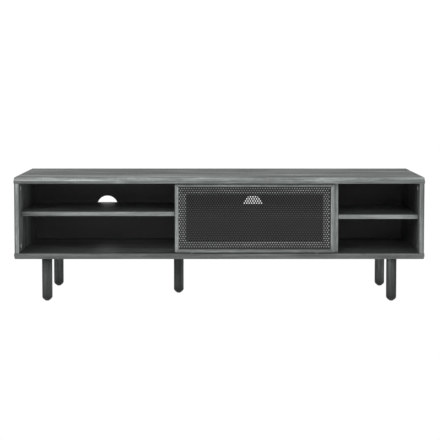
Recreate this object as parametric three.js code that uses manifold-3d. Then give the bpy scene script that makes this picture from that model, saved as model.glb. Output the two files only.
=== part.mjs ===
// Low media stand: open left and right compartments, a centre compartment
// behind one sliding framed door with a perforated sheet, five legs.
// Units: millimetres. +Z up, +X right, the front faces -Y.
// Origin: centre of the bounding box's footprint, on the floor.
import * as THREE from 'three';
import { mergeVertices } from 'three/addons/utils/BufferGeometryUtils.js';
import Module from 'manifold-3d';

// ---------------------------------------------------------------- dimensions
const WIDTH = 1702;            // over the top and bottom panels
const DEPTH = 395;
const GAP = 0.3;               // between pieces that touch

const Z_BOTTOM = 180.3;        // underside of the bottom panel
const Z_FLOOR = 205.5;         // upper face of the bottom panel
const Z_CEIL = 497;            // underside of the top panel
const Z_TOP = 521.5;           // upper face of the top panel
const BEVEL_H = 15;            // front moulding, height
const BEVEL_D = 13;            // front moulding, depth

const SIDE_X = 850.3;          // outer face of a side panel
const SIDE_T = 20;
const SIDE_FRONT = 1.2;        // set back of the side panels' front edge
const SIDE_CHAMFER = 6;        // outer front corner of a side panel
const DIVIDER_T = 20;
const DIVIDER_LEFT_X = -175.5; // centre planes of the dividers
const DIVIDER_RIGHT_X = 485.7;
const DIVIDER_FRONT = 30;      // set back of the dividers' front edge

const BACK_FRONT = 378;        // depth of the back boards' front face
const BACK_T = 5;
const CABLE_HOLE_R = 46.8;
const CABLE_HOLE_Z = 352.8;
const CABLE_HOLE_LEFT_X = -507;
const CABLE_HOLE_CENTRE_X = 153.5;

const SHELF_T = 18;
const SHELF_FRONT = 32;
const SHELF_BACK = 340;
const SHELF_SIDE_GAP = 1.2;
const SHELF_TOP_LEFT = 375.4;
const SHELF_TOP_CENTRE = 367.4;
const SHELF_TOP_RIGHT = 363.4;
const PIN_R = 2.5;
const PIN_HOLE_R = 2.8;
const PIN_HOLE_DEPTH = 8.6;
const PIN_FRONT = 77;          // depth of the front pins
const PIN_BACK = 281;          // depth of the rear pins
const PIN_STEP = 32;           // spacing of the spare pin holes

const CAM_R = 9;
const CAM_DEPTH = 11;
const CAM_INSET_Z = 24.5;      // from the compartment's ceiling or floor
const CAM_D = 44;              // depth of the cam centres

const LEG_R = 21.3;            // turned, round legs
const LEG_FOOT = [[10.4, 0], [14.0, 2.6], [17.0, 5.4], [19.3, 8.4], [20.8, 11.4], [21.3, 14.2]]; // rounded foot: radius, height
const LEG_X = 722;
const LEG_FRONT_D = 45;
const LEG_BACK_D = 330;
const LEG_MID_X = -176;
const LEG_MID_D = 190;
const GLIDE_R = 9;
const GLIDE_H = 2;
const BOLT_R = 4;
const BOLT_Z0 = 150;
const BOLT_Z1 = 199;

const DOOR_FRONT = 5;          // depth of the door's front face
const DOOR_T = 18;
const DOOR_X0 = -183.3;
const DOOR_X1 = 476.9;
const DOOR_Z0 = 209.2;
const DOOR_Z1 = 492.5;
const DOOR_MEMBER = 46;        // width of the stiles
const DOOR_RAIL_TOP = 42;      // height of the top rail
const DOOR_RAIL_BOTTOM = 43.8;   // height of the bottom rail
const DOOR_LIP = 14.3;         // part of a stile that shows round the sheet
const DOOR_LIP_TOP = 10.3;
const DOOR_LIP_BOTTOM = 13;
const DOOR_REBATE = 3.2;
const SHEET_T = 1.2;
const SHEET_SET = 1.6;         // sheet's front face behind the lip's face

const TRACK_D = 14;            // depth of the track's centre line
const TRACK_W = 9;
const TRACK_WALL = 1.2;
const TRACK_LOW_H = 6.2;
const TRACK_HIGH_H = 10.7;
const TRACK_X = 828;

const WHEEL_R = 9;
const WHEEL_W = 4;
const WHEEL_BORE = 1.62;
const AXLE_R = 1.5;
const WHEEL_OFFSET = 70;       // wheel centres from the door's ends
const HOUSING_L = 44;
const HOUSING_W = 10;
const HOUSING_H = 14;
const HOUSING_DROP = 2.6;      // the housing reaches this far below the axle, into the gap under the door
const GUIDE_OFFSET = 60;
const GUIDE_L = 30;

// ------------------------------------------------------------------- helpers
const wasm = await Module();
wasm.setup();

const Y = (d) => -DEPTH / 2 + d;   // depth behind the front plane -> Y

function toSolid(geometry) {
  const g = geometry.index ? geometry.clone() : geometry.clone();
  g.deleteAttribute('normal');
  g.deleteAttribute('uv');
  const m = mergeVertices(g, 1e-4);
  return new wasm.Manifold(new wasm.Mesh({
    numProp: 3,
    vertProperties: new Float32Array(m.attributes.position.array),
    triVerts: new Uint32Array(m.index.array),
  }));
}

function toGeometry(solid) {
  const mesh = solid.getMesh();
  const g = new THREE.BufferGeometry();
  g.setAttribute('position', new THREE.BufferAttribute(new Float32Array(mesh.vertProperties), 3));
  g.setIndex(new THREE.BufferAttribute(new Uint32Array(mesh.triVerts), 1));
  g.computeVertexNormals();
  return g;
}

function shapeOf(points) {
  return new THREE.Shape(points.map(([a, b]) => new THREE.Vector2(a, b)));
}

// profile in (Y, Z), swept along X
function alongX(points, x0, x1) {
  const g = new THREE.ExtrudeGeometry(shapeOf(points), { depth: x1 - x0, bevelEnabled: false, steps: 1 });
  g.applyMatrix4(new THREE.Matrix4().makeBasis(
    new THREE.Vector3(0, 1, 0), new THREE.Vector3(0, 0, 1), new THREE.Vector3(1, 0, 0)));
  g.translate(x0, 0, 0);
  return toSolid(g);
}

// profile in (X, Z), swept along Y
function alongY(points, y0, y1) {
  const g = new THREE.ExtrudeGeometry(shapeOf(points), { depth: y1 - y0, bevelEnabled: false, steps: 1 });
  g.applyMatrix4(new THREE.Matrix4().makeBasis(
    new THREE.Vector3(1, 0, 0), new THREE.Vector3(0, 0, 1), new THREE.Vector3(0, -1, 0)));
  g.translate(0, y1, 0);
  return toSolid(g);
}

// profile in (X, Y), swept along Z
function alongZ(points, z0, z1) {
  const g = new THREE.ExtrudeGeometry(shapeOf(points), { depth: z1 - z0, bevelEnabled: false, steps: 1 });
  g.translate(0, 0, z0);
  return toSolid(g);
}

function box(x0, x1, y0, y1, z0, z1) {
  const g = new THREE.BoxGeometry(x1 - x0, y1 - y0, z1 - z0);
  g.translate((x0 + x1) / 2, (y0 + y1) / 2, (z0 + z1) / 2);
  return toSolid(g);
}

// closed cylinder between two points on one axis ('x', 'y' or 'z')
function rod(axis, r, a0, a1, c1, c2, segments = 24) {
  const g = new THREE.CylinderGeometry(r, r, a1 - a0, segments, 1);
  const mid = (a0 + a1) / 2;
  if (axis === 'z') { g.rotateX(Math.PI / 2); g.translate(c1, c2, mid); }
  if (axis === 'x') { g.rotateZ(Math.PI / 2); g.translate(mid, c1, c2); }
  if (axis === 'y') { g.translate(c1, mid, c2); }
  return toSolid(g);
}

function lathe(profile, segments) {
  const g = new THREE.LatheGeometry(profile.map(([r, h]) => new THREE.Vector2(r, h)), segments);
  return g;                       // axis along +Y, profile from the axis back to it
}

const finish = {
  wood: () => new THREE.MeshStandardMaterial({ color: 0x6f7573, roughness: 0.55, metalness: 0 }),
  dark: () => new THREE.MeshStandardMaterial({ color: 0x202121, roughness: 0.7, metalness: 0 }),
  sheet: () => new THREE.MeshStandardMaterial({ color: 0x36393a, roughness: 0.45, metalness: 0.6 }),
  steel: () => new THREE.MeshStandardMaterial({ color: 0xb4b6b8, roughness: 0.35, metalness: 1 }),
  plastic: () => new THREE.MeshStandardMaterial({ color: 0x161717, roughness: 0.5, metalness: 0 }),
  nylon: () => new THREE.MeshStandardMaterial({ color: 0xd8d8d2, roughness: 0.4, metalness: 0 }),
};

const stand = new THREE.Group();
const carcass = new THREE.Group();
const door = new THREE.Group();
stand.add(carcass, door);

function put(group, name, solidOrGeometry, material) {
  const g = solidOrGeometry.isBufferGeometry ? solidOrGeometry : toGeometry(solidOrGeometry);
  const mesh = new THREE.Mesh(g, material);
  mesh.name = name;
  group.add(mesh);
  return mesh;
}

// ------------------------------------------------------------ where things are
const HALF = WIDTH / 2;
const SIDE_IN = SIDE_X - SIDE_T;
const bays = {
  left: { x0: -SIDE_IN, x1: DIVIDER_LEFT_X - DIVIDER_T / 2, top: SHELF_TOP_LEFT },
  centre: { x0: DIVIDER_LEFT_X + DIVIDER_T / 2, x1: DIVIDER_RIGHT_X - DIVIDER_T / 2, top: SHELF_TOP_CENTRE },
  right: { x0: DIVIDER_RIGHT_X + DIVIDER_T / 2, x1: SIDE_IN, top: SHELF_TOP_RIGHT },
};
const legs = {
  front_left: [-LEG_X, Y(LEG_FRONT_D)],
  front_right: [LEG_X, Y(LEG_FRONT_D)],
  rear_left: [-LEG_X, Y(LEG_BACK_D)],
  rear_right: [LEG_X, Y(LEG_BACK_D)],
  middle: [LEG_MID_X, Y(LEG_MID_D)],
};
const pinZ = (bay) => bay.top - SHELF_T - GAP - PIN_R;

// ---------------------------------------------------------------- top panel
{
  let s = alongX([
    [Y(0), Z_CEIL], [Y(DEPTH), Z_CEIL], [Y(DEPTH), Z_TOP],
    [Y(BEVEL_D), Z_TOP], [Y(0), Z_TOP - BEVEL_H],
  ], -HALF, HALF);
  const w = TRACK_W / 2 + GAP;
  s = s.subtract(box(-TRACK_X - GAP, TRACK_X + GAP, Y(TRACK_D - w), Y(TRACK_D + w), Z_CEIL - 1, Z_CEIL + TRACK_HIGH_H + GAP));
  put(carcass, 'top_panel', s, finish.wood());
}

// -------------------------------------------------------------- bottom panel
{
  let s = alongX([
    [Y(BEVEL_D), Z_BOTTOM], [Y(DEPTH), Z_BOTTOM], [Y(DEPTH), Z_FLOOR],
    [Y(0), Z_FLOOR], [Y(0), Z_BOTTOM + BEVEL_H],
  ], -HALF, HALF);
  const w = TRACK_W / 2 + GAP;
  s = s.subtract(box(-TRACK_X - GAP, TRACK_X + GAP, Y(TRACK_D - w), Y(TRACK_D + w), Z_FLOOR - TRACK_LOW_H - GAP, Z_FLOOR + 1));
  for (const [x, y] of Object.values(legs)) {
    s = s.subtract(rod('z', BOLT_R + GAP, Z_BOTTOM - 1, BOLT_Z1 + GAP, x, y, 20));
  }
  put(carcass, 'bottom_panel', s, finish.wood());
}

// --------------------------------------------------------------- side panels
function pinHoles(s, xFace, into, z, extra) {
  for (const d of [PIN_FRONT, PIN_BACK]) {
    for (const k of extra) {
      const a = xFace - into * 1;
      const b = xFace + into * PIN_HOLE_DEPTH;
      s = s.subtract(rod('x', PIN_HOLE_R, Math.min(a, b), Math.max(a, b), Y(d), z + k * PIN_STEP, 12));
    }
  }
  return s;
}
const SPARES = [-1, 0, 1];

for (const side of [-1, 1]) {
  const name = side < 0 ? 'left' : 'right';
  const outer = side * SIDE_X;
  const inner = side * SIDE_IN;
  const outline = [
    [inner, Y(SIDE_FRONT)],
    [outer - side * SIDE_CHAMFER, Y(SIDE_FRONT)],
    [outer, Y(SIDE_FRONT + SIDE_CHAMFER)],
    [outer, Y(DEPTH - 0.5)],
    [inner, Y(DEPTH - 0.5)],
  ];
  if (side < 0) outline.reverse();
  let s = alongZ(outline, Z_FLOOR + GAP, Z_CEIL - GAP);
  s = pinHoles(s, inner, side, pinZ(bays[name]), SPARES);
  for (const z of [Z_CEIL - CAM_INSET_Z, Z_FLOOR + CAM_INSET_Z]) {
    const a = inner - side, b = inner + side * (CAM_DEPTH + GAP);
    s = s.subtract(rod('x', CAM_R + GAP, Math.min(a, b), Math.max(a, b), Y(CAM_D), z, 32));
  }
  put(carcass, `${name}_side_panel`, s, finish.wood());

  for (const [tag, z] of [['top', Z_CEIL - CAM_INSET_Z], ['bottom', Z_FLOOR + CAM_INSET_Z]]) {
    const a = inner, b = inner + side * CAM_DEPTH;
    put(carcass, `cam_lock_${name}_${tag}`, rod('x', CAM_R, Math.min(a, b), Math.max(a, b), Y(CAM_D), z, 32), finish.steel());
  }
}

// ------------------------------------------------------------------ dividers
for (const [name, xc, a, b] of [
  ['left_divider', DIVIDER_LEFT_X, bays.left, bays.centre],
  ['right_divider', DIVIDER_RIGHT_X, bays.centre, bays.right],
]) {
  const x0 = xc - DIVIDER_T / 2, x1 = xc + DIVIDER_T / 2;
  let s = box(x0, x1, Y(DIVIDER_FRONT), Y(BACK_FRONT - GAP), Z_FLOOR + GAP, Z_CEIL - GAP);
  s = pinHoles(s, x0, 1, pinZ(a), SPARES);
  s = pinHoles(s, x1, -1, pinZ(b), SPARES);
  put(carcass, name, s, finish.wood());
}

// --------------------------------------------------------------- back boards
{
  const y0 = Y(BACK_FRONT), y1 = Y(BACK_FRONT + BACK_T);
  const spans = {
    left: [-SIDE_IN + GAP, DIVIDER_LEFT_X - GAP, CABLE_HOLE_LEFT_X],
    centre: [DIVIDER_LEFT_X + GAP, DIVIDER_RIGHT_X - GAP, CABLE_HOLE_CENTRE_X],
    right: [DIVIDER_RIGHT_X + GAP, SIDE_IN - GAP, null],
  };
  for (const [name, [x0, x1, hole]] of Object.entries(spans)) {
    let s = box(x0, x1, y0, y1, Z_FLOOR + GAP, Z_CEIL - GAP);
    if (hole !== null) s = s.subtract(rod('y', CABLE_HOLE_R, y0 - 1, y1 + 1, hole, CABLE_HOLE_Z, 48));
    put(carcass, `back_panel_${name}`, s, finish.dark());
  }
}

// -------------------------------------------------------- shelves and pins
for (const [name, bay] of Object.entries(bays)) {
  put(carcass, `shelf_${name}`, box(
    bay.x0 + SHELF_SIDE_GAP, bay.x1 - SHELF_SIDE_GAP, Y(SHELF_FRONT), Y(SHELF_BACK),
    bay.top - SHELF_T, bay.top), finish.wood());

  // a pin: shank in the panel, thin collar on the face, nose under the shelf
  for (const [end, x, dir] of [['left', bay.x0, 1], ['right', bay.x1, -1]]) {
    for (const [row, d] of [['front', PIN_FRONT], ['rear', PIN_BACK]]) {
      const g = lathe([
        [0, -8], [PIN_R, -8], [PIN_R, GAP], [PIN_R + 1, GAP], [PIN_R + 1, 0.9],
        [PIN_R, 0.9], [PIN_R, 9], [0, 9],
      ], 12);
      g.rotateZ(dir > 0 ? -Math.PI / 2 : Math.PI / 2);
      const s = toSolid(g);
      const m = put(carcass, `shelf_pin_${name}_${end}_${row}`, s, finish.steel());
      m.position.set(x, Y(d), pinZ(bay));
    }
  }
}

// ---------------------------------------------- legs, bolts and foot glides
for (const [name, [x, y]] of Object.entries(legs)) {
  const z0 = GLIDE_H + GAP, z1 = Z_BOTTOM - GAP;
  const turned = lathe([[0, z0], ...LEG_FOOT.map(([q, up]) => [q, z0 + up]), [LEG_R, z1], [0, z1]], 64);
  turned.rotateX(Math.PI / 2);
  turned.translate(x, y, 0);
  let s = toSolid(turned);
  s = s.subtract(rod('z', BOLT_R + GAP, BOLT_Z0 - GAP, z1 + 1, x, y, 20));
  put(carcass, `leg_${name}`, s, finish.wood());
  put(carcass, `leg_bolt_${name}`, rod('z', BOLT_R, BOLT_Z0, BOLT_Z1, x, y, 16), finish.steel());
  const g = lathe([[0, 0], [GLIDE_R - 0.8, 0], [GLIDE_R, 0.8], [GLIDE_R, GLIDE_H], [0, GLIDE_H]], 32);
  g.rotateX(Math.PI / 2);
  const m = put(carcass, `glide_${name}`, toSolid(g), finish.plastic());
  m.position.set(x, y, 0);
}

// -------------------------------------------------------------------- tracks
function channel(zMouth, zRoot, name) {
  const y0 = Y(TRACK_D - TRACK_W / 2), y1 = Y(TRACK_D + TRACK_W / 2);
  const up = Math.sign(zMouth - zRoot);
  const f = zRoot + up * TRACK_WALL;
  const t = TRACK_WALL;
  let p = [[y0, zRoot], [y1, zRoot], [y1, zMouth], [y1 - t, zMouth], [y1 - t, f], [y0 + t, f], [y0 + t, zMouth], [y0, zMouth]];
  if (up < 0) p = p.reverse();
  put(carcass, name, alongX(p, -TRACK_X, TRACK_X), finish.plastic());
}
channel(Z_FLOOR, Z_FLOOR - TRACK_LOW_H, 'bottom_track');
channel(Z_CEIL, Z_CEIL + TRACK_HIGH_H, 'top_track');

// ---------------------------------------------------------------- door frame
const DY0 = Y(DOOR_FRONT), DY1 = Y(DOOR_FRONT + DOOR_T);
const WHEEL_Z = Z_FLOOR - TRACK_LOW_H + TRACK_WALL + 0.15 + WHEEL_R;
const wheelX = { left: DOOR_X0 + WHEEL_OFFSET, right: DOOR_X1 - WHEEL_OFFSET };
const guideX = { left: DOOR_X0 + GUIDE_OFFSET, right: DOOR_X1 - GUIDE_OFFSET };
{
  const w = DOOR_MEMBER, t = DOOR_RAIL_TOP, b = DOOR_RAIL_BOTTOM, g = GAP / 2;
  const x0 = DOOR_X0, x1 = DOOR_X1, z0 = DOOR_Z0, z1 = DOOR_Z1;
  const rebate = box(x0 + DOOR_LIP, x1 - DOOR_LIP, DY0 - 1, DY0 + DOOR_REBATE, z0 + DOOR_LIP_BOTTOM, z1 - DOOR_LIP_TOP);
  const members = {
    door_bottom_rail: [[x0 + g, z0], [x1 - g, z0], [x1 - w - g, z0 + b], [x0 + w + g, z0 + b]],
    door_top_rail: [[x0 + w + g, z1 - t], [x1 - w - g, z1 - t], [x1 - g, z1], [x0 + g, z1]],
    door_left_stile: [[x0, z0 + g], [x0 + w, z0 + b + g], [x0 + w, z1 - t - g], [x0, z1 - g]],
    door_right_stile: [[x1, z0 + g], [x1, z1 - g], [x1 - w, z1 - t - g], [x1 - w, z0 + b + g]],
  };
  for (const [name, outline] of Object.entries(members)) {
    let s = alongY(outline, DY0, DY1).subtract(rebate);
    if (name === 'door_bottom_rail') {
      for (const x of Object.values(wheelX)) {
        s = s.subtract(box(x - HOUSING_L / 2 - GAP, x + HOUSING_L / 2 + GAP,
          Y(TRACK_D) - HOUSING_W / 2 - GAP, Y(TRACK_D) + HOUSING_W / 2 + GAP, z0 - 1, z0 + HOUSING_H + GAP));
      }
    }
    if (name === 'door_top_rail') {
      for (const x of Object.values(guideX)) {
        s = s.subtract(box(x - GUIDE_L / 2 - GAP, x + GUIDE_L / 2 + GAP, Y(TRACK_D) - 4 - GAP, Y(TRACK_D) + 4 + GAP, z1 - 12 - GAP, z1 + 1));
      }
    }
    put(door, name, s, finish.wood());
  }
  const m = DOOR_LIP + GAP;
  put(door, 'door_mesh_panel', box(x0 + m, x1 - m, DY0 + SHEET_SET, DY0 + SHEET_SET + SHEET_T,
    z0 + DOOR_LIP_BOTTOM + GAP, z1 - DOOR_LIP_TOP - GAP), finish.sheet());
}

// ------------------------------------------- door rollers and upper guides
for (const [name, x] of Object.entries(wheelX)) {
  const yc = Y(TRACK_D);
  let h = box(x - HOUSING_L / 2, x + HOUSING_L / 2, yc - HOUSING_W / 2, yc + HOUSING_W / 2, WHEEL_Z - HOUSING_DROP, DOOR_Z0 + HOUSING_H);
  h = h.subtract(box(x - WHEEL_R - 1.2, x + WHEEL_R + 1.2, yc - WHEEL_W / 2 - 0.5, yc + WHEEL_W / 2 + 0.5, DOOR_Z0 - 5, WHEEL_Z + WHEEL_R + 1));
  h = h.subtract(rod('y', AXLE_R + 0.15, yc - 9, yc + 9, x, WHEEL_Z, 16));
  put(door, `roller_housing_${name}`, h, finish.plastic());
  put(door, `roller_axle_${name}`, rod('y', AXLE_R, yc - 4.8, yc + 4.8, x, WHEEL_Z, 16), finish.steel());
  const wheel = rod('y', WHEEL_R, yc - WHEEL_W / 2, yc + WHEEL_W / 2, x, WHEEL_Z, 36)
    .subtract(rod('y', WHEEL_BORE, yc - WHEEL_W, yc + WHEEL_W, x, WHEEL_Z, 20));
  put(door, `roller_${name}`, wheel, finish.nylon());
}
for (const [name, x] of Object.entries(guideX)) {
  const yc = Y(TRACK_D), z = DOOR_Z1;
  put(door, `top_guide_${name}`, alongX([
    [yc - 4, z - 12], [yc + 4, z - 12], [yc + 4, z - 0.2], [yc + 2.6, z - 0.2],
    [yc + 2.6, z + 8.4], [yc + 2, z + 9], [yc - 2, z + 9], [yc - 2.6, z + 8.4],
    [yc - 2.6, z - 0.2], [yc - 4, z - 0.2],
  ], x - GUIDE_L / 2, x + GUIDE_L / 2), finish.plastic());
}

export default stand;
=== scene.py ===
import math

import bmesh
import bpy
import numpy as np
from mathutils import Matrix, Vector


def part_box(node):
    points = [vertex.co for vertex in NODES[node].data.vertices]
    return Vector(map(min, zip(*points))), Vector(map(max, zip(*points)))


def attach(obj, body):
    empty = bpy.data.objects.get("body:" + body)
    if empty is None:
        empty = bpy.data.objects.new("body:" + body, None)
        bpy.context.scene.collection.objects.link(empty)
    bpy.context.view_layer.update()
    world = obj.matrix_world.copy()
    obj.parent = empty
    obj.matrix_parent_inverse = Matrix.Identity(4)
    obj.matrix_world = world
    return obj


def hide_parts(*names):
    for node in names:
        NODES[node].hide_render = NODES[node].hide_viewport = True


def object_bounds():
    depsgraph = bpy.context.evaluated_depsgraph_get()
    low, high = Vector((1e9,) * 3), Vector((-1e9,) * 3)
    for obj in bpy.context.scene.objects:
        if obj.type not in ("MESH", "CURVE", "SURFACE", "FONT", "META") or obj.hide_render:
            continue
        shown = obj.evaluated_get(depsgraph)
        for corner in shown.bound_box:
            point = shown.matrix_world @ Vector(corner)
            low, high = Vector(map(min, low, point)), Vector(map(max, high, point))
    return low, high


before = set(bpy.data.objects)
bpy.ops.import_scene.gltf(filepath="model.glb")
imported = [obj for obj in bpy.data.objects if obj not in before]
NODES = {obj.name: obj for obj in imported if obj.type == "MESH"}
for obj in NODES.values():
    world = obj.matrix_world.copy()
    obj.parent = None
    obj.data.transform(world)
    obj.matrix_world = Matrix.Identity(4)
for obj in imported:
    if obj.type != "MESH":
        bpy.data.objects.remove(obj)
cad_lo, cad_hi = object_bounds()

scene = bpy.context.scene
FRONT = cad_lo.y                      # the front plane of the stand
TOP = cad_hi.z
MM = 0.001


def depth(d_mm):
    """Y of a point d_mm behind the front plane."""
    return FRONT + d_mm * MM


# =============================================================== camera
CAM_X, CAM_DIST, CAM_Z = -0.0067, 3.8492, 0.9344
CAM_TILT, CAM_LENS = 2.382, 76.49
CAM_SHIFT_X, CAM_SHIFT_Y = 0.00533, -0.235

cam_data = bpy.data.cameras.new("camera")
cam_data.sensor_width = 36.0
cam_data.lens = CAM_LENS
cam_data.shift_x = CAM_SHIFT_X
cam_data.shift_y = CAM_SHIFT_Y
cam_data.dof.use_dof = False
cam_data.clip_start, cam_data.clip_end = 0.05, 100.0
cam = bpy.data.objects.new("camera", cam_data)
cam.location = (CAM_X, FRONT - CAM_DIST, CAM_Z)
cam.rotation_euler = (math.radians(90.0 - CAM_TILT), 0.0, 0.0)
scene.collection.objects.link(cam)
scene.camera = cam

scene.view_settings.view_transform = "Standard"
scene.view_settings.look = "None"
scene.view_settings.exposure = 0.0
scene.view_settings.gamma = 1.0


# ================================================================ light
WORLD_FRONT, WORLD_BACK = 0.34, 1.0


def sun(name, azimuth, elevation, spread, strength, colour=(1, 1, 1)):
    """A large soft source. azimuth is measured from straight in front, to the right."""
    data = bpy.data.lights.new(name, "SUN")
    data.angle = math.radians(spread)
    data.energy = strength
    data.color = colour
    ob = bpy.data.objects.new(name, data)
    az, el = math.radians(azimuth), math.radians(elevation)
    d = Vector((math.sin(az) * math.cos(el), -math.cos(az) * math.cos(el), math.sin(el)))
    ob.location = d * 5.0
    ob.rotation_mode = "QUATERNION"
    ob.rotation_quaternion = (-d).to_track_quat("-Z", "Y")
    scene.collection.objects.link(ob)
    return ob


# White surroundings: brighter behind the stand, where the backdrop is, than in front of it.
world = bpy.data.worlds.new("studio")
world.use_nodes = True
wt = world.node_tree
bg = wt.nodes["Background"]
bg.inputs["Color"].default_value = (1.0, 1.0, 1.0, 1.0)
wdir = wt.nodes.new("ShaderNodeTexCoord")
wsep = wt.nodes.new("ShaderNodeSeparateXYZ")
wmap = wt.nodes.new("ShaderNodeMapRange")
wmap.interpolation_type = "SMOOTHSTEP"
wmap.inputs["From Min"].default_value = 0.45
wmap.inputs["From Max"].default_value = 0.95
wmap.inputs["To Min"].default_value = WORLD_FRONT
wmap.inputs["To Max"].default_value = WORLD_BACK
wt.links.new(wdir.outputs["Generated"], wsep.inputs[0])
wt.links.new(wsep.outputs["Y"], wmap.inputs["Value"])
wt.links.new(wmap.outputs["Result"], bg.inputs["Strength"])
back = wt.nodes.new("ShaderNodeBackground")
back.inputs["Color"].default_value = (1.0, 1.0, 1.0, 1.0)
back.inputs["Strength"].default_value = 1.05
ray = wt.nodes.new("ShaderNodeLightPath")
pick = wt.nodes.new("ShaderNodeMixShader")
wt.links.new(ray.outputs["Is Camera Ray"], pick.inputs[0])
wt.links.new(bg.outputs[0], pick.inputs[1])
wt.links.new(back.outputs[0], pick.inputs[2])
wt.links.new(pick.outputs[0], wt.nodes["World Output"].inputs["Surface"])
scene.world = world

sun("key", -42.0, 42.0, 50.0, 2.30)
sun("fill", 32.0, 38.0, 60.0, 1.43)


# ================================================== material building kit
class Mat:
    """A small helper round a node tree: each method adds one node and returns its output."""

    def __init__(self, name):
        self.m = bpy.data.materials.new(name)
        self.m.use_nodes = True
        self.nt = self.m.node_tree
        self.bsdf = self.nt.nodes["Principled BSDF"]
        self.coord = None

    def node(self, kind, **props):
        n = self.nt.nodes.new(kind)
        for k, v in props.items():
            setattr(n, k, v)
        return n

    def put(self, socket, value):
        if hasattr(value, "links"):
            self.nt.links.new(value, socket)
        else:
            socket.default_value = value

    def tex(self, which="Object"):
        if self.coord is None:
            self.coord = self.node("ShaderNodeTexCoord")
        return self.coord.outputs[which]

    def sep(self, v):
        n = self.node("ShaderNodeSeparateXYZ")
        self.put(n.inputs[0], v)
        return n.outputs[0], n.outputs[1], n.outputs[2]

    def comb(self, x, y, z):
        n = self.node("ShaderNodeCombineXYZ")
        for s, v in zip(n.inputs, (x, y, z)):
            self.put(s, v)
        return n.outputs[0]

    def math(self, op, a, b=0.0, c=None, clamp=False):
        n = self.node("ShaderNodeMath", operation=op, use_clamp=clamp)
        self.put(n.inputs[0], a)
        self.put(n.inputs[1], b)
        if c is not None:
            self.put(n.inputs[2], c)
        return n.outputs[0]

    def mapr(self, v, a, b, c=0.0, d=1.0, smooth=True):
        n = self.node("ShaderNodeMapRange")
        n.interpolation_type = "SMOOTHSTEP" if smooth else "LINEAR"
        n.clamp = True
        self.put(n.inputs["Value"], v)
        for k, x in zip(("From Min", "From Max", "To Min", "To Max"), (a, b, c, d)):
            self.put(n.inputs[k], x)
        return n.outputs["Result"]

    def scale(self, v, s, offset=(0, 0, 0)):
        n = self.node("ShaderNodeVectorMath", operation="MULTIPLY_ADD")
        self.put(n.inputs[0], v)
        n.inputs[1].default_value = s
        n.inputs[2].default_value = offset
        return n.outputs[0]

    def noise(self, v, scale=1.0, detail=4.0, rough=0.55, distort=0.0, dims="3D"):
        n = self.node("ShaderNodeTexNoise", noise_dimensions=dims)
        self.put(n.inputs["Vector"], v)
        n.inputs["Scale"].default_value = scale
        n.inputs["Detail"].default_value = detail
        n.inputs["Roughness"].default_value = rough
        n.inputs["Distortion"].default_value = distort
        return n.outputs["Fac"]

    def ramp(self, v, stops):
        n = self.node("ShaderNodeValToRGB")
        r = n.color_ramp
        while len(r.elements) < len(stops):
            r.elements.new(0.5)
        for e, (p, c) in zip(r.elements, stops):
            e.position = p
            e.color = (*c, 1.0)
        self.put(n.inputs[0], v)
        return n.outputs[0]

    def mix(self, f, a, b, kind="RGBA", blend="MIX"):
        n = self.node("ShaderNodeMix", data_type=kind)
        if kind == "RGBA":
            n.blend_type = blend
            i = (0, 6, 7)
            o = 2
        elif kind == "VECTOR":
            i = (0, 4, 5)
            o = 1
        else:
            i = (0, 2, 3)
            o = 0
        self.put(n.inputs[i[0]], f)
        for k, v in ((i[1], a), (i[2], b)):
            if isinstance(v, tuple) and kind == "RGBA" and len(v) == 3:
                v = (*v, 1.0)
            self.put(n.inputs[k], v)
        return n.outputs[o]

    def bump(self, height, strength, distance, normal=None):
        n = self.node("ShaderNodeBump")
        n.inputs["Strength"].default_value = strength
        n.inputs["Distance"].default_value = distance
        self.put(n.inputs["Height"], height)
        if normal is not None:
            self.put(n.inputs["Normal"], normal)
        return n.outputs[0]

    def done(self, colour, rough, normal=None, **consts):
        b = self.bsdf.inputs
        self.put(b["Base Color"], colour)
        self.put(b["Roughness"], rough)
        if normal is not None:
            self.put(b["Normal"], normal)
        for k, v in consts.items():
            b[k.replace("_", " ")].default_value = v
        return self.m


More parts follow.
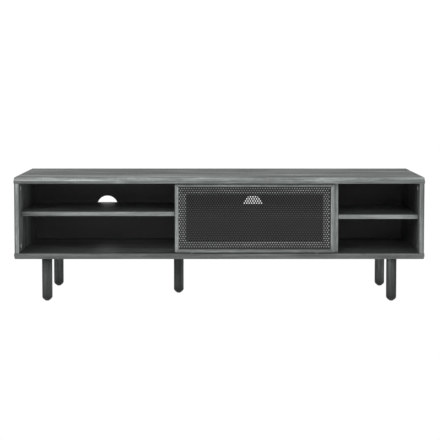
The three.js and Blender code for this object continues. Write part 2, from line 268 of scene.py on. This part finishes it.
def wood(name, grain, tone=1.0, face=1.0, arris=1.0, carcass=False, inside_shade=0.3, wear_and_highlight=0.0, rebate_light=None,
         broad_k=1.0, calm=None, rear=0.0, foot_shade=False, gloss=0.2, end=None, flip=False, rear_light_lift=1.0, front_shade=1.0, nook_light=0.55,
         shade=None, offset=(0, 0, 0)):
    """Charcoal oak laminate with brushed grain. grain is the axis that the fibres run along.
    tone: all faces. face: the front face. arris: the sloping front bevels and chamfers, above 1 a painted highlight,
    below 1 darker.
    carcass: faces that line the compartments carry painted shade, times inside_shade.
    rebate_light: painted light on the recess floor under the door's sheet, against the sheet's shade. broad_k: strength
    of the broad bands.
    calm: their strength on the front face. rear_light_lift, front_shade: painted light at the back board and painted
    shade at the front.
    nook_light: how much painted light the compartment gets towards the left divider. shade: (share of the depth, tone)
    stops of painted shade.
    rear: painted shade, how much darker the print gets towards the rear. foot_shade: painted shade, darker towards the
    floor. gloss: specular level.
    end: (tone, x0, x1), painted shade: the front face runs darker towards the piece's left end. flip: the print runs
    the other way round."""
    m = Mat(name)
    x, y, z = m.sep(m.tex("Object"))
    nx, ny, nz = m.sep(m.tex("Normal"))
    if flip:
        x = m.math("MULTIPLY", x, -1.0)
    if grain == "X":
        side = m.comb(x, y, z)
        across = m.comb(y, z, x)       # the ends' edging runs front to back
        v = m.mix(m.math("GREATER_THAN", m.math("ABSOLUTE", nx), 0.72), side, across, "VECTOR")
    else:
        v = m.comb(z, x, y)

    if flip:
        x = m.math("MULTIPLY", x, -1.0)

    broad = m.noise(m.scale(v, (1.5, 13.0, 13.0), offset), 1.0, 2.0, 0.5)
    streak = m.noise(m.scale(v, (3.4, 52.0, 52.0), (offset[0] + 3.0, offset[1], offset[2] + 5.0)), 1.0, 5.0, 0.66, 0.2)
    patch = m.noise(m.scale(v, (14.0, 44.0, 44.0), (offset[0] + 1.3, offset[1] + 8.1, offset[2])), 1.0, 4.0, 0.6)
    fibre = m.noise(m.scale(v, (22.0, 560.0, 560.0), offset), 1.0, 3.0, 0.6)
    pore_n = m.noise(m.scale(v, (34.0, 900.0, 900.0), (4.4, 0.3, 9.7)), 1.0, 2.0, 0.5)
    pore = m.mapr(pore_n, 0.58, 0.70)
    saw = m.noise(m.scale(v, (150.0, 10.0, 10.0), (offset[0] + 2.2, offset[1] + 4.1, offset[2])), 1.0, 3.0, 0.55)
    sawn = m.mapr(m.noise(m.scale(v, (4.0, 9.0, 9.0), (offset[0] + 6.2, offset[1], offset[2] + 1.1)), 1.0, 2.0, 0.5), 0.42, 0.62)
    saw = m.math("MULTIPLY", m.math("SUBTRACT", saw, 0.5), sawn)

    if calm is None:
        t = m.math("MULTIPLY_ADD", broad, BROAD * broad_k, 0.5 - 0.5 * BROAD * broad_k)
    else:
        amount = m.mapr(ny, -0.80, -0.95, BROAD * broad_k, BROAD * calm)
        t = m.math("MULTIPLY_ADD", m.math("SUBTRACT", broad, 0.5), amount, 0.5)
    # painted shade: darker towards the rear
    if rear:
        t = m.math("SUBTRACT", t, m.mapr(y, depth(60.0), depth(380.0), 0.0, rear, smooth=False))
    t = m.math("ADD", t, m.math("MULTIPLY_ADD", streak, STREAK, -0.5 * STREAK))
    t = m.math("ADD", t, m.math("MULTIPLY_ADD", patch, PATCH, -0.5 * PATCH))
    t = m.math("ADD", t, m.math("MULTIPLY_ADD", fibre, FIBRE, -0.5 * FIBRE))
    t = m.math("ADD", t, m.math("MULTIPLY", saw, SAW))

    g = lambda k, c=(0.957, 1.040, 1.006): tuple(k * tone * u for u in c)
    col = m.ramp(t, [(0.00, g(0.062, (0.94, 1.05, 1.01))), (0.28, g(0.108)), (0.50, g(0.158)),
                     (0.72, g(0.222)), (1.00, g(0.340, (0.975, 1.025, 1.0)))])
    col = m.mix(m.math("MULTIPLY", pore, 0.42), col, g(0.060))

    # the front face's tone is set piece by piece to how much light each front gets: lit and shaded copies of one
    # laminate
    if face != 1.0:
        f = m.mapr(ny, -0.80, -0.95)
        raw = col
        col = m.mix(f, col, m.mix(1.0, col, (face, face, face), blend="MULTIPLY"))
        # painted light on the recess floor behind the sheet, lifting it against the sheet's shade
        if rebate_light:
            cut = m.math("MULTIPLY", m.math("GREATER_THAN", y, depth(8.0)), m.math("LESS_THAN", y, depth(8.6)))
            col = m.mix(cut, col, m.mix(1.0, raw, (rebate_light, rebate_light, rebate_light), blend="MULTIPLY"))
    # above 1, a painted highlight on the upward front bevel; below 1, darker chamfers and painted shade on the downward
    # bevel
    if arris != 1.0:
        f = m.math("MULTIPLY", m.mapr(ny, -0.35, -0.60), m.mapr(ny, -0.97, -0.85))
        if arris > 1.0:
            f = m.math("MULTIPLY", f, m.mapr(nz, 0.25, 0.45))
        col = m.mix(f, col, m.mix(1.0, col, (arris, arris, arris), blend="MULTIPLY"))

    # painted shade: darker towards the floor
    if foot_shade:
        floor_shade = m.mapr(m.math("ADD", z, m.math("MULTIPLY", fibre, 0.006)), 0.0, 0.180, 0.24, 1.50, smooth=False)
        floor_shade = m.math("MULTIPLY", floor_shade, m.mapr(z, 0.004, 0.040, 0.45, 1.0))
        col = m.mix(1.0, col, m.comb(floor_shade, floor_shade, floor_shade), blend="MULTIPLY")
    # painted shade: the front face runs darker towards the left end
    if end:
        dark = m.mapr(m.math("ADD", x, m.math("MULTIPLY", streak, 0.05)), end[1], end[2], end[0], 1.0, smooth=False)
        dark = m.mix(m.mapr(ny, -0.3, -0.7), 1.0, dark, "FLOAT")
        col = m.mix(1.0, col, m.comb(dark, dark, dark), blend="MULTIPLY")

    # worn spots and painted highlight: lighter patches along the rounded edges
    if wear_and_highlight:
        rub_and_highlight = m.noise(m.scale(m.tex("Object"), (60.0, 60.0, 60.0)), 1.0, 4.0, 0.7)
        rub_and_highlight = m.math("MULTIPLY", m.mapr(rub_and_highlight, 0.40, 0.66), wear_and_highlight)
        col = m.mix(rub_and_highlight, col, g(0.34))

    # painted shade inside the compartments, with painted light towards the back board and the left divider
    if carcass:
        inside = m.math("MULTIPLY", m.math("GREATER_THAN", x, -0.8306), m.math("LESS_THAN", x, 0.8306))
        inside = m.math("MULTIPLY", inside, m.math("GREATER_THAN", y, depth(1.0)))
        inside = m.math("MULTIPLY", inside, m.math("LESS_THAN", y, depth(379.0)))
        inside = m.math("MULTIPLY", inside, m.math("GREATER_THAN", z, 0.2050))
        inside = m.math("MULTIPLY", inside, m.math("LESS_THAN", z, 0.4975))
        facing = m.mapr(m.math("ABSOLUTE", ny), 0.55, 0.30)
        inside = m.math("MULTIPLY", inside, facing)
        shaded_inside = m.mix(1.0, col, (inside_shade, inside_shade, inside_shade), blend="MULTIPLY")
        if rear_light_lift != 1.0:
            k = m.math("POWER", m.mapr(y, depth(150.0), depth(379.0), smooth=False), 1.3)
            k = m.math("MULTIPLY_ADD", k, rear_light_lift - 1.0, 1.0)
            first = m.mapr(x, -0.25, 0.25, 0.5 + 0.5 * front_shade, front_shade, smooth=False)
            k = m.math("MULTIPLY", k, m.mix(m.mapr(y, depth(14.0), depth(150.0)), first, 1.0, "FLOAT"))
            bay = m.math("MULTIPLY", m.mapr(x, -0.46, -0.21, 0.0, nook_light, smooth=False), m.math("LESS_THAN", x, -0.187))
            if nook_light > 0.6:                     # a shelf: only its rear
                bay = m.math("MULTIPLY", bay, m.mapr(y, depth(150.0), depth(330.0)))
            k = m.math("MULTIPLY", k, m.math("ADD", bay, 1.0))
            shaded_inside = m.mix(1.0, shaded_inside, m.comb(k, k, k), blend="MULTIPLY")
        if shade:
            k = m.ramp(m.mapr(y, depth(0.0), depth(379.0), smooth=False), [(p, (c, c, c)) for p, c in shade])
            shaded_inside = m.mix(1.0, shaded_inside, k, blend="MULTIPLY")
        col = m.mix(inside, col, shaded_inside)

    h = m.math("ADD", m.math("MULTIPLY", streak, 0.5), m.math("MULTIPLY", fibre, 0.35))
    h = m.math("SUBTRACT", h, m.math("MULTIPLY", pore, 0.6))
    normal = m.bump(h, 0.35, 0.0004)
    rough = m.math("ADD", m.math("MULTIPLY", streak, 0.20), 0.50 if gloss < 0.3 else 0.34)
    rough = m.math("ADD", rough, m.math("MULTIPLY", pore, 0.15))
    return m.done(col, rough, normal, Specular_IOR_Level=gloss)


BROAD, STREAK, PATCH, FIBRE, SAW = 1.2, 1.9, 0.45, 0.8, 0.4


def back_board(name="dark_back_board", top=(1.0, 1.0), low=(1.0, 1.0), side=None):
    """Paper-faced board. top, low: painted light and shade in the bay above and below the shelf, as its tone at the top
    and the bottom of each.
    side: x where the painted light starts to grow and x where it is strongest."""
    m = Mat(name)
    v = m.tex("Object")
    n1 = m.noise(m.scale(v, (220, 220, 220)), 1.0, 4.0, 0.6)
    n2 = m.noise(m.scale(v, (3, 3, 3)), 1.0, 3.0, 0.5)
    fib = m.noise(m.scale(v, (60, 60, 900)), 1.0, 3.0, 0.6)
    t = m.math("ADD", m.math("MULTIPLY", n1, 0.5), m.math("MULTIPLY", n2, 0.5))
    col = m.ramp(t, [(0.3, (0.058, 0.0582, 0.0580)), (0.7, (0.078, 0.0785, 0.0780))])
    # painted light and shade on the board's face inside the bay
    if top != low:
        x, y, z = m.sep(m.tex("Object"))
        upper = m.math("GREATER_THAN", z, 0.35)
        u = m.mix(upper, m.mapr(z, 0.303, 0.2055, smooth=False), m.mapr(z, 0.452, 0.362, smooth=False), "FLOAT")
        k = m.mix(upper, m.math("MULTIPLY_ADD", u, low[1] - low[0], low[0]),
                  m.math("MULTIPLY_ADD", u, top[1] - top[0], top[0]), "FLOAT")
        if side:
            away = m.mapr(x, side[0], side[1], smooth=False)
            uu = m.math("MULTIPLY", u, u)
            more = m.mix(upper, m.math("MULTIPLY_ADD", uu, 1.35, 0.3), m.math("MULTIPLY_ADD", uu, 2.1, 0.22), "FLOAT")
            k = m.math("MULTIPLY_ADD", away, more, k)
        ny = m.sep(m.tex("Normal"))[1]
        k = m.mix(m.mapr(ny, -0.3, -0.7), 1.0, k, "FLOAT")      # only the face inside the bay
        col = m.mix(1.0, col, m.comb(k, k, k), blend="MULTIPLY")
    rough = m.mapr(n1, 0.3, 0.7, 0.62, 0.8)
    nrm = m.bump(m.math("ADD", n1, fib), 0.25, 0.0002)
    return m.done(col, rough, nrm, Specular_IOR_Level=0.3)


def powder_coat():
    m = Mat("perforated_steel")
    v = m.tex("Object")
    peel = m.noise(m.scale(v, (900, 900, 900)), 1.0, 2.0, 0.5)
    cloud = m.noise(m.scale(v, (9, 9, 9)), 1.0, 3.0, 0.55)
    col = m.ramp(cloud, [(0.3, (0.0140, 0.0141, 0.0141)), (0.7, (0.0175, 0.0176, 0.0176))])
    x, y, z = m.sep(v)
    # painted shade of the top's overhang: the sheet runs darker towards its top
    k = m.mapr(z, 0.362, 0.448, 1.0, 0.72)
    col = m.mix(1.0, col, m.comb(k, k, k), blend="MULTIPLY")
    rough = m.mapr(cloud, 0.3, 0.7, 0.44, 0.56)
    nrm = m.bump(peel, 0.25, 0.00008)
    return m.done(col, rough, nrm, Metallic=0.0, Specular_IOR_Level=0.15)


def steel(name="zinc_steel"):
    m = Mat(name)
    v = m.tex("Object")
    a = m.noise(m.scale(v, (400, 400, 400)), 1.0, 4.0, 0.65)
    b = m.noise(m.scale(v, (60, 60, 60)), 1.0, 3.0, 0.5)
    col = m.ramp(b, [(0.3, (0.46, 0.47, 0.48)), (0.7, (0.60, 0.61, 0.62))])
    rough = m.mapr(a, 0.3, 0.7, 0.26, 0.42)
    return m.done(col, rough, m.bump(a, 0.2, 0.00005), Metallic=1.0)


def moulded(name, lo, hi, r0, r1, spec=0.5):
    m = Mat(name)
    v = m.tex("Object")
    a = m.noise(m.scale(v, (1400, 1400, 1400)), 1.0, 2.0, 0.5)
    b = m.noise(m.scale(v, (40, 40, 40)), 1.0, 3.0, 0.5)
    col = m.ramp(b, [(0.3, lo), (0.7, hi)])
    rough = m.mapr(a, 0.3, 0.7, r0, r1)
    return m.done(col, rough, m.bump(a, 0.25, 0.00006), Specular_IOR_Level=spec)


# face, arris and tone are set piece by piece to the light each piece gets: lit and shaded copies of one laminate
M_TOP = wood("charcoal_wood", "X", tone=0.66, face=0.94, arris=1.70, carcass=True, broad_k=1.7, calm=0.15, rear=0.17, flip=True,
             end=(0.56, -0.850, -0.640))
# darkened edge: painted shade along the shadow line above the door
M_TOP_EDGE = wood("charcoal_wood_top_edge", "X", tone=0.6, carcass=True, wear_and_highlight=0.15)
# the bottom's front and downward bevel darkened: painted shade
M_BOTTOM = wood("charcoal_wood_bottom", "X", face=0.435, arris=0.26, carcass=True, inside_shade=0.25, gloss=0.4, rear_light_lift=2.8, front_shade=0.72,
                end=(0.78, -0.840, -0.450), offset=(8.0, 4.0, 1.0))
# darkened edge: painted shade in the gap under the door
M_BOTTOM_EDGE = wood("charcoal_wood_bottom_edge", "X", tone=0.42, carcass=True, wear_and_highlight=0.06)
M_SHELF = wood("charcoal_wood_shelf", "X", face=0.73, carcass=True, inside_shade=0.30, gloss=0.6, rear_light_lift=3.4, front_shade=0.90, nook_light=0.8,
               offset=(3.0, 7.0, 2.0))
M_SHELF_L = wood("charcoal_wood_left_shelf", "X", face=0.80, carcass=True, inside_shade=0.30, gloss=0.6, end=(0.08, -0.810, -0.650), rear_light_lift=3.8,
                 front_shade=0.80, nook_light=0.8, offset=(3.0, 7.0, 2.0))
M_SHELF_EDGE = wood("charcoal_wood_shelf_edge", "X", tone=0.6, carcass=True, wear_and_highlight=0.08)
# the centre shelf sits behind the door: its front carries painted shade
M_SHELF_IN = wood("charcoal_wood_inner_shelf", "X", face=0.40, carcass=True, inside_shade=0.27, offset=(1.0, 2.0, 7.0))
M_SIDE_L = wood("charcoal_wood_side", "Z", face=1.15, arris=0.36, carcass=True, inside_shade=0.62, offset=(2.7, 0.9, 4.2))
# the right panel: a shaded copy of the side, with a darker front and stops of painted shade along its inside
M_SIDE_R = wood("charcoal_wood_side_right", "Z", face=0.53, arris=0.36, carcass=True, inside_shade=0.40,
                shade=[(0.0, 1.0), (0.11, 0.95), (0.20, 0.45), (0.30, 0.38), (0.45, 0.55), (0.70, 0.80), (1.0, 1.0)], offset=(9.3, 5.1, 3.6))
M_SIDE_EDGE = wood("charcoal_wood_side_edge", "Z", tone=0.5, carcass=True, wear_and_highlight=0.10)
M_DIVIDER = wood("charcoal_wood_divider", "Z", face=0.94, carcass=True, offset=(6.1, 2.9, 1.2))
M_DIVIDER_EDGE = wood("charcoal_wood_divider_edge", "Z", tone=0.8, carcass=True, wear_and_highlight=0.12)
M_DOOR_X = wood("door_wood_rail", "X", face=0.57, rebate_light=1.42, offset=(0.6, 3.3, 1.2))
M_DOOR_Z = wood("door_wood_stile", "Z", face=0.70, rebate_light=1.42, offset=(5.2, 1.3, 2.2))
# the rails' edges darkened: painted shade in the gaps above and below the door
M_DOOR_EDGE_X = wood("door_wood_rail_edge", "X", tone=0.28, wear_and_highlight=0.05)
M_DOOR_EDGE_Z = wood("door_wood_stile_edge", "Z", tone=0.75, wear_and_highlight=0.2)
# one leg wood in four tones: lit and shaded copies, each set to the light its leg gets
M_LEG = wood("charcoal_wood_leg", "Z", tone=0.275, foot_shade=True, offset=(1.1, 6.6, 3.8))
M_LEG_RIGHT = wood("charcoal_wood_right_leg", "Z", tone=0.225, foot_shade=True, offset=(1.9, 2.3, 3.8))
M_LEG_MIDDLE = wood("charcoal_wood_middle_leg", "Z", tone=0.38, foot_shade=True, offset=(4.1, 2.6, 7.8))
M_LEG_REAR = wood("charcoal_wood_rear_leg", "Z", tone=0.385, foot_shade=True, offset=(7.4, 1.6, 5.8))
M_BACK = back_board()
# the left and right bays' boards carry painted light and shade
M_BACK_L = back_board("dark_back_board_left", (0.92, 1.20), (0.74, 1.05), (-0.460, -0.214))
M_BACK_R = back_board("dark_back_board_right", (0.68, 1.38), (0.78, 1.30))
M_SHEET = powder_coat()
M_STEEL = steel()
M_CAM = moulded("cast_zinc", (0.34, 0.345, 0.35), (0.44, 0.445, 0.45), 0.38, 0.5, 0.6)
# the lower right cam: a shaded copy of the zinc
M_CAM_SHADED = moulded("cast_zinc_shaded", (0.10, 0.102, 0.104), (0.15, 0.152, 0.154), 0.45, 0.6, 0.4)
M_BLACK = moulded("black_plastic", (0.008, 0.008, 0.008), (0.014, 0.014, 0.014), 0.42, 0.55)
M_NYLON = moulded("nylon", (0.62, 0.61, 0.57), (0.70, 0.69, 0.65), 0.35, 0.45)


# ============================================== finishing the CAD pieces
def clean_group():
    g = bpy.data.node_groups.new("clean_mesh", "GeometryNodeTree")
    g.interface.new_socket("Geometry", in_out="INPUT", socket_type="NodeSocketGeometry")
    g.interface.new_socket("Geometry", in_out="OUTPUT", socket_type="NodeSocketGeometry")
    i, o = g.nodes.new("NodeGroupInput"), g.nodes.new("NodeGroupOutput")
    w = g.nodes.new("GeometryNodeMergeByDistance")
    w.inputs["Distance"].default_value = 2e-5
    r = g.nodes.new("GeometryNodeRemoveAttribute")
    r.inputs["Name"].default_value = "custom_normal"
    s = g.nodes.new("GeometryNodeSetShadeSmooth")
    s.inputs["Shade Smooth"].default_value = True
    g.links.new(i.outputs[0], w.inputs["Geometry"])
    g.links.new(w.outputs[0], r.inputs[0])
    g.links.new(r.outputs[0], s.inputs[0])
    g.links.new(s.outputs[0], o.inputs[0])
    return g


CLEAN = clean_group()


def dress(node, material, edge=None, width=0.8, segments=3):
    """Gives a CAD node its material, and rounds its edges by width mm with a modifier."""
    o = NODES[node]
    o.data.materials.clear()
    o.data.materials.append(material)
    if edge is not None:
        o.data.materials.append(edge)
    m = o.modifiers.new("clean", "NODES")
    m.node_group = CLEAN
    d = o.modifiers.new("planar", "DECIMATE")
    d.decimate_type = "DISSOLVE"
    d.angle_limit = 0.01
    if width:
        b = o.modifiers.new("edges", "BEVEL")
        b.width = width * MM
        b.segments = segments
        b.limit_method = "ANGLE"
        b.angle_limit = 0.5
        b.use_clamp_overlap = True
        if edge is not None:
            b.material = 1
    n = o.modifiers.new("normals", "WEIGHTED_NORMAL")
    n.weight = 50
    n.keep_sharp = False
    return o


dress("top_panel", M_TOP, M_TOP_EDGE, 1.2)
dress("bottom_panel", M_BOTTOM, M_BOTTOM_EDGE, 1.2)
dress("shelf_left", M_SHELF_L, M_SHELF_EDGE, 0.9)
dress("shelf_right", M_SHELF, M_SHELF_EDGE, 0.9)
dress("shelf_centre", M_SHELF_IN, None, 0.9)
dress("left_side_panel", M_SIDE_L, M_SIDE_EDGE, 0.9, 2)
dress("right_side_panel", M_SIDE_R, M_SIDE_EDGE, 0.9, 2)
for n in ("left_divider", "right_divider"):
    dress(n, M_DIVIDER, M_DIVIDER_EDGE, 0.9, 2)
for n in ("door_top_rail", "door_bottom_rail"):
    dress(n, M_DOOR_X, M_DOOR_EDGE_X, 1.1)
for n in ("door_left_stile", "door_right_stile"):
    dress(n, M_DOOR_Z, M_DOOR_EDGE_Z, 0.6)
for n in NODES:
    if n.startswith("back_panel_"):
        dress(n, {"left": M_BACK_L, "right": M_BACK_R}.get(n[11:], M_BACK), None, 0.4, 2)
    elif n.startswith("leg_bolt_") or n.startswith("roller_axle_"):
        dress(n, M_STEEL, None, 0.3, 2)
    elif n.startswith("leg_"):
        dress(n, M_LEG_REAR if "rear" in n else M_LEG_MIDDLE if "middle" in n else M_LEG_RIGHT if "right" in n else M_LEG, None, 0.0)
    elif n.startswith("shelf_pin_"):
        dress(n, M_STEEL, None, 0.25, 2)
    elif n.startswith("glide_"):
        dress(n, M_BLACK, None, 0.4)
    elif n.startswith("cam_lock_"):
        dress(n, M_CAM, None, 0.4)
    elif n.endswith("_track") or n.startswith("roller_housing_"):
        dress(n, M_BLACK, None, 0.25, 2)
    elif n in ("roller_left", "roller_right"):
        dress(n, M_NYLON, None, 0.4)
    elif n.startswith("top_guide_"):
        dress(n, M_BLACK, None, 0.3, 2)


# ============================================================ cam locks
def solid(name, verts, faces):
    me = bpy.data.meshes.new(name)
    me.from_pydata(verts, [], faces)
    me.update()
    return me


def turned(name, profile, segments=48):
    """Closed solid of revolution about +X; profile is (x, radius) from the axis round to the axis, in mm."""
    verts, rows = [], []
    for px, r in profile:
        if r == 0:
            rows.append([len(verts)])
            verts.append((px * MM, 0.0, 0.0))
        else:
            rows.append(list(range(len(verts), len(verts) + segments)))
            verts += [(px * MM, r * MM * math.cos(2 * math.pi * k / segments), r * MM * math.sin(2 * math.pi * k / segments))
                      for k in range(segments)]
    faces = []
    for a, b in zip(rows, rows[1:]):
        for k in range(segments):
            j = (k + 1) % segments
            if len(a) == 1:
                faces.append((a[0], b[k], b[j]))
            elif len(b) == 1:
                faces.append((a[k], b[0], a[j]))
            else:
                faces.append((a[k], b[k], b[j], a[j]))
    return solid(name, verts, faces)


def block(name, x, y, z, turn):
    """A box about the X axis, turned by turn degrees, as (low, high) in mm on each axis."""
    c, w = math.cos(math.radians(turn)), math.sin(math.radians(turn))
    v = [(px * MM, (py * c - pz * w) * MM, (py * w + pz * c) * MM) for px in x for py in y for pz in z]
    return solid(name, v, [(0, 1, 3, 2), (4, 6, 7, 5), (0, 4, 5, 1), (2, 3, 7, 6), (0, 2, 6, 4), (1, 5, 7, 3)])


def fix_normals(me):
    bm = bmesh.new()
    bm.from_mesh(me)
    bmesh.ops.recalc_face_normals(bm, faces=bm.faces[:])
    bm.to_mesh(me)
    bm.free()
    return me


def carve(name, body, cutters):
    """body minus each cutter, as one clean mesh."""
    fix_normals(body)
    ob = bpy.data.objects.new(name, body)
    scene.collection.objects.link(ob)
    tools = []
    for k, c in enumerate(cutters):
        t = bpy.data.objects.new("%s_cutter_%d" % (name, k), fix_normals(c))
        scene.collection.objects.link(t)
        m = ob.modifiers.new("cut%d" % k, "BOOLEAN")
        m.operation, m.solver, m.object = "DIFFERENCE", "EXACT", t
        tools.append(t)
    dg = bpy.context.evaluated_depsgraph_get()
    out = bpy.data.meshes.new_from_object(ob.evaluated_get(dg))
    ob.modifiers.clear()
    ob.data = out
    for t in tools:
        bpy.data.objects.remove(t)
    bm = bmesh.new()
    bm.from_mesh(out)
    bmesh.ops.remove_doubles(bm, verts=bm.verts[:], dist=1e-6)
    bmesh.ops.recalc_face_normals(bm, faces=bm.faces[:])
    print(name, "faces", len(bm.faces), "open edges", sum(1 for e in bm.edges if not e.is_manifold))
    bm.to_mesh(out)
    bm.free()
    return ob


CAM_TURN = {"left_top": 24.0, "left_bottom": -37.0, "right_top": 61.0, "right_bottom": 12.0}
for key, turn in CAM_TURN.items():
    c_lo, c_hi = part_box("cam_lock_" + key)
    r = (c_hi.z - c_lo.z) / 2 / MM
    deep = (c_hi.x - c_lo.x) / MM
    body = turned("cam_body_" + key, [(0.0, 0), (0.0, 5.9), (-0.4, 6.2), (-0.4, 6.8), (0.0, 7.1), (0.0, r - 0.6),
                                      (-0.15, r - 0.2), (-0.6, r), (-deep, r), (-deep, 0)])
    slots = [block("cam_slot", (-2.6, 1.0), (-0.85, 0.85), (-4.6, 4.6), turn),
             block("cam_slot", (-2.6, 1.0), (-4.6, 4.6), (-0.85, 0.85), turn),
             block("cam_mark", (-0.5, 1.0), (7.4, r - 0.9), (-0.35, 0.35), turn + 45.0)]
    cam_piece = carve("cam_" + key, body, slots)
    left = key.startswith("left")
    cam_piece.rotation_euler = (0.0, 0.0, 0.0 if left else math.pi)
    cam_piece.location = (c_hi.x if left else c_lo.x, (c_lo.y + c_hi.y) / 2, (c_lo.z + c_hi.z) / 2)
    cam_piece.data.materials.clear()
    cam_piece.data.materials.append(M_CAM_SHADED if key == "right_bottom" else M_CAM)
    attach(cam_piece, "carcass")
    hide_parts("cam_lock_" + key)


# =================================================== the perforated sheet
def perforated(name, lo, hi, pitch, row, radius, first, sides=16):
    """A sheet with real staggered round holes and a plain margin where a hole would meet the edge.
    lo, hi: corners. first: (x, z) of one hole's centre; its row and every second one share its columns."""
    x0, y0, z0 = lo
    x1, y1, z1 = hi
    half = sides // 2
    bm = bmesh.new()
    grid = {}

    def vert(x, y, z):
        k = (round((x - first[0]) * 1e7), round((z - first[1]) * 1e7))
        if k not in grid:
            grid[k] = bm.verts.new((x, y, z))
        return grid[k]

    r0 = int(math.floor((z0 - first[1]) / row)) - 1
    r1 = int(math.ceil((z1 - first[1]) / row)) + 1
    for r in range(r0, r1 + 1):
        cz = first[1] + r * row
        shift = 0.5 * pitch if r % 2 else 0.0
        c0 = int(math.floor((x0 - first[0] - shift) / pitch)) - 1
        c1 = int(math.ceil((x1 - first[0] - shift) / pitch)) + 1
        for c in range(c0, c1 + 1):
            cx = first[0] + shift + c * pitch
            ring = [(cx + radius * math.sin(2 * math.pi * k / sides), cz + radius * math.cos(2 * math.pi * k / sides))
                    for k in range(sides)]           # from the top, towards +x
            top, bot = (cx, cz + row / 2), (cx, cz - row / 2)
            right = [top, (cx + pitch / 2, cz + row / 2), (cx + pitch / 2, cz - row / 2), bot]
            left = [bot, (cx - pitch / 2, cz - row / 2), (cx - pitch / 2, cz + row / 2), top]
            arc_r = [ring[k] for k in range(half, -1, -1)]            # bottom to top on the right
            arc_l = [ring[k % sides] for k in range(sides, half - 1, -1)]   # top to bottom on the left
            reach = radius + 0.0004
            if not (x0 + reach < cx < x1 - reach and z0 + reach < cz < z1 - reach):
                plain = right + [(cx - pitch / 2, cz - row / 2), (cx - pitch / 2, cz + row / 2)]
                bm.faces.new([vert(px, y0, pz) for px, pz in plain])
                continue
            for outline in (right + arc_r, left + arc_l):
                bm.faces.new([vert(px, y0, pz) for px, pz in outline])
    for co, no in (((x0, 0, 0), (-1, 0, 0)), ((x1, 0, 0), (1, 0, 0)), ((0, 0, z0), (0, 0, -1)), ((0, 0, z1), (0, 0, 1))):
        bmesh.ops.bisect_plane(bm, geom=bm.verts[:] + bm.edges[:] + bm.faces[:], dist=1e-7,
                               plane_co=co, plane_no=no, clear_outer=True)
    loose = [v for v in bm.verts if not v.link_faces]
    bmesh.ops.delete(bm, geom=loose, context="VERTS")
    front = bm.faces[:]
    rims = [(e.verts[0], e.verts[1]) for e in bm.edges if e.is_boundary]
    twin = {v: bm.verts.new((v.co.x, y1, v.co.z)) for v in bm.verts[:]}
    for f in front:
        bm.faces.new([twin[v] for v in reversed(f.verts)])
    for a, b in rims:
        bm.faces.new((a, b, twin[b], twin[a]))
    bmesh.ops.recalc_face_normals(bm, faces=bm.faces[:])
    bmesh.ops.triangulate(bm, faces=[f for f in bm.faces if len(f.verts) > 4])
    open_edges = sum(1 for e in bm.edges if not e.is_manifold)
    print("perforated sheet: faces", len(bm.faces), "open edges", open_edges, "volume", round(bm.calc_volume() * 1e9, 1))
    me = bpy.data.meshes.new(name)
    bm.to_mesh(me)
    bm.free()
    ob = bpy.data.objects.new(name, me)
    scene.collection.objects.link(ob)
    return ob


s_lo, s_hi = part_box("door_mesh_panel")
sheet = perforated("perforated_sheet", s_lo, s_hi, 0.010167, 0.00868, 0.0026,
                   (s_lo.x + 0.0032, s_hi.z - 0.0059))
sheet.data.materials.append(M_SHEET)
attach(sheet, "door")
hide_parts("door_mesh_panel")


# ================================================================ floor
bpy.ops.mesh.primitive_plane_add(size=40.0, location=(0, 6.0, 0))
floor = bpy.context.object
floor.name = "studio_floor"
mf = Mat("studio_floor")
fn = mf.noise(mf.scale(mf.tex("Object"), (1.5, 1.5, 1.5)), 1.0, 2.0, 0.5)
mf.done(mf.ramp(fn, [(0.0, (0.90, 0.90, 0.90)), (1.0, (0.93, 0.93, 0.93))]), mf.mapr(fn, 0.0, 1.0, 0.85, 0.95), Specular_IOR_Level=0.0)
mf.bsdf.inputs["Emission Color"].default_value = (1.0, 1.0, 1.0, 1.0)
mf.bsdf.inputs["Emission Strength"].default_value = 0.74
# the camera sees the floor as paper white, whatever light falls on it
seen = mf.nt.nodes.new("ShaderNodeMixShader")
flat = mf.nt.nodes.new("ShaderNodeEmission")
flat.inputs["Color"].default_value = (1.0, 1.0, 1.0, 1.0)
flat.inputs["Strength"].default_value = 1.01
path = mf.nt.nodes.new("ShaderNodeLightPath")
mf.nt.links.new(path.outputs["Is Camera Ray"], seen.inputs[0])
mf.nt.links.new(mf.bsdf.outputs[0], seen.inputs[1])
mf.nt.links.new(flat.outputs[0], seen.inputs[2])
out = next(n for n in mf.nt.nodes if n.type == "OUTPUT_MATERIAL")
mf.nt.links.new(seen.outputs[0], out.inputs["Surface"])
floor.data.materials.append(mf.m)
